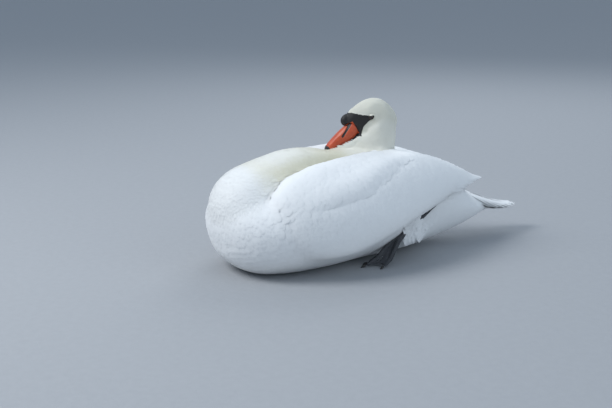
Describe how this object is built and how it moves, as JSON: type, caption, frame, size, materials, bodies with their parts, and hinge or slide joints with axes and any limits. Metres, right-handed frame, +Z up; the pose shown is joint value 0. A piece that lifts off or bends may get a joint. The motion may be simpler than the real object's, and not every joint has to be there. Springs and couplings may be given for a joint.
{
  "type": "mute swan",
  "caption": "Mute swan resting on its belly, wings folded, neck laid back along the back and head turned forward with the bill lying on the neck feathers.",
  "frame": {"origin": "on the ground, under the middle of the bird's bounding box", "axes": "+Z up, -Y the way the breast faces, +Y towards the tail, +X the bird's left"},
  "size_m": [0.3742, 0.804, 0.3451],
  "materials": {
    "white_feathers": "soft matte feathers",
    "neck_feathers": "short matte feathers with a cream tint",
    "bill_orange": "smooth horn",
    "bill_black": "smooth black skin and horn",
    "eye": "wet dark brown",
    "leg_skin": "dark grey scaly skin",
    "claw_horn": "dull black horn"
  },
  "bodies": {
    "root": {"trunk": "white_feathers", "neck_lower": "white_feathers", "neck_middle": "neck_feathers", "neck_upper": "neck_feathers", "head": "neck_feathers", "tail": "white_feathers", "scapulars_left": "white_feathers", "scapulars_right": "white_feathers", "wing_left": "white_feathers", "wing_right": "white_feathers", "flight_feathers_left": "white_feathers", "flight_feathers_right": "white_feathers", "eye_left": "eye", "eye_right": "eye", "bill_upper": "bill_orange", "bill_lower": "bill_orange", "bill_knob": "bill_black", "leg_left": "leg_skin", "leg_right": "leg_skin", "foot_left": "leg_skin", "foot_right": "leg_skin", "claw_inner_left": "claw_horn", "claw_middle_left": "claw_horn", "claw_outer_left": "claw_horn", "claw_hind_left": "claw_horn", "claw_inner_right": "claw_horn", "claw_middle_right": "claw_horn", "claw_outer_right": "claw_horn", "claw_hind_right": "claw_horn"}
  },
  "joints": []
}
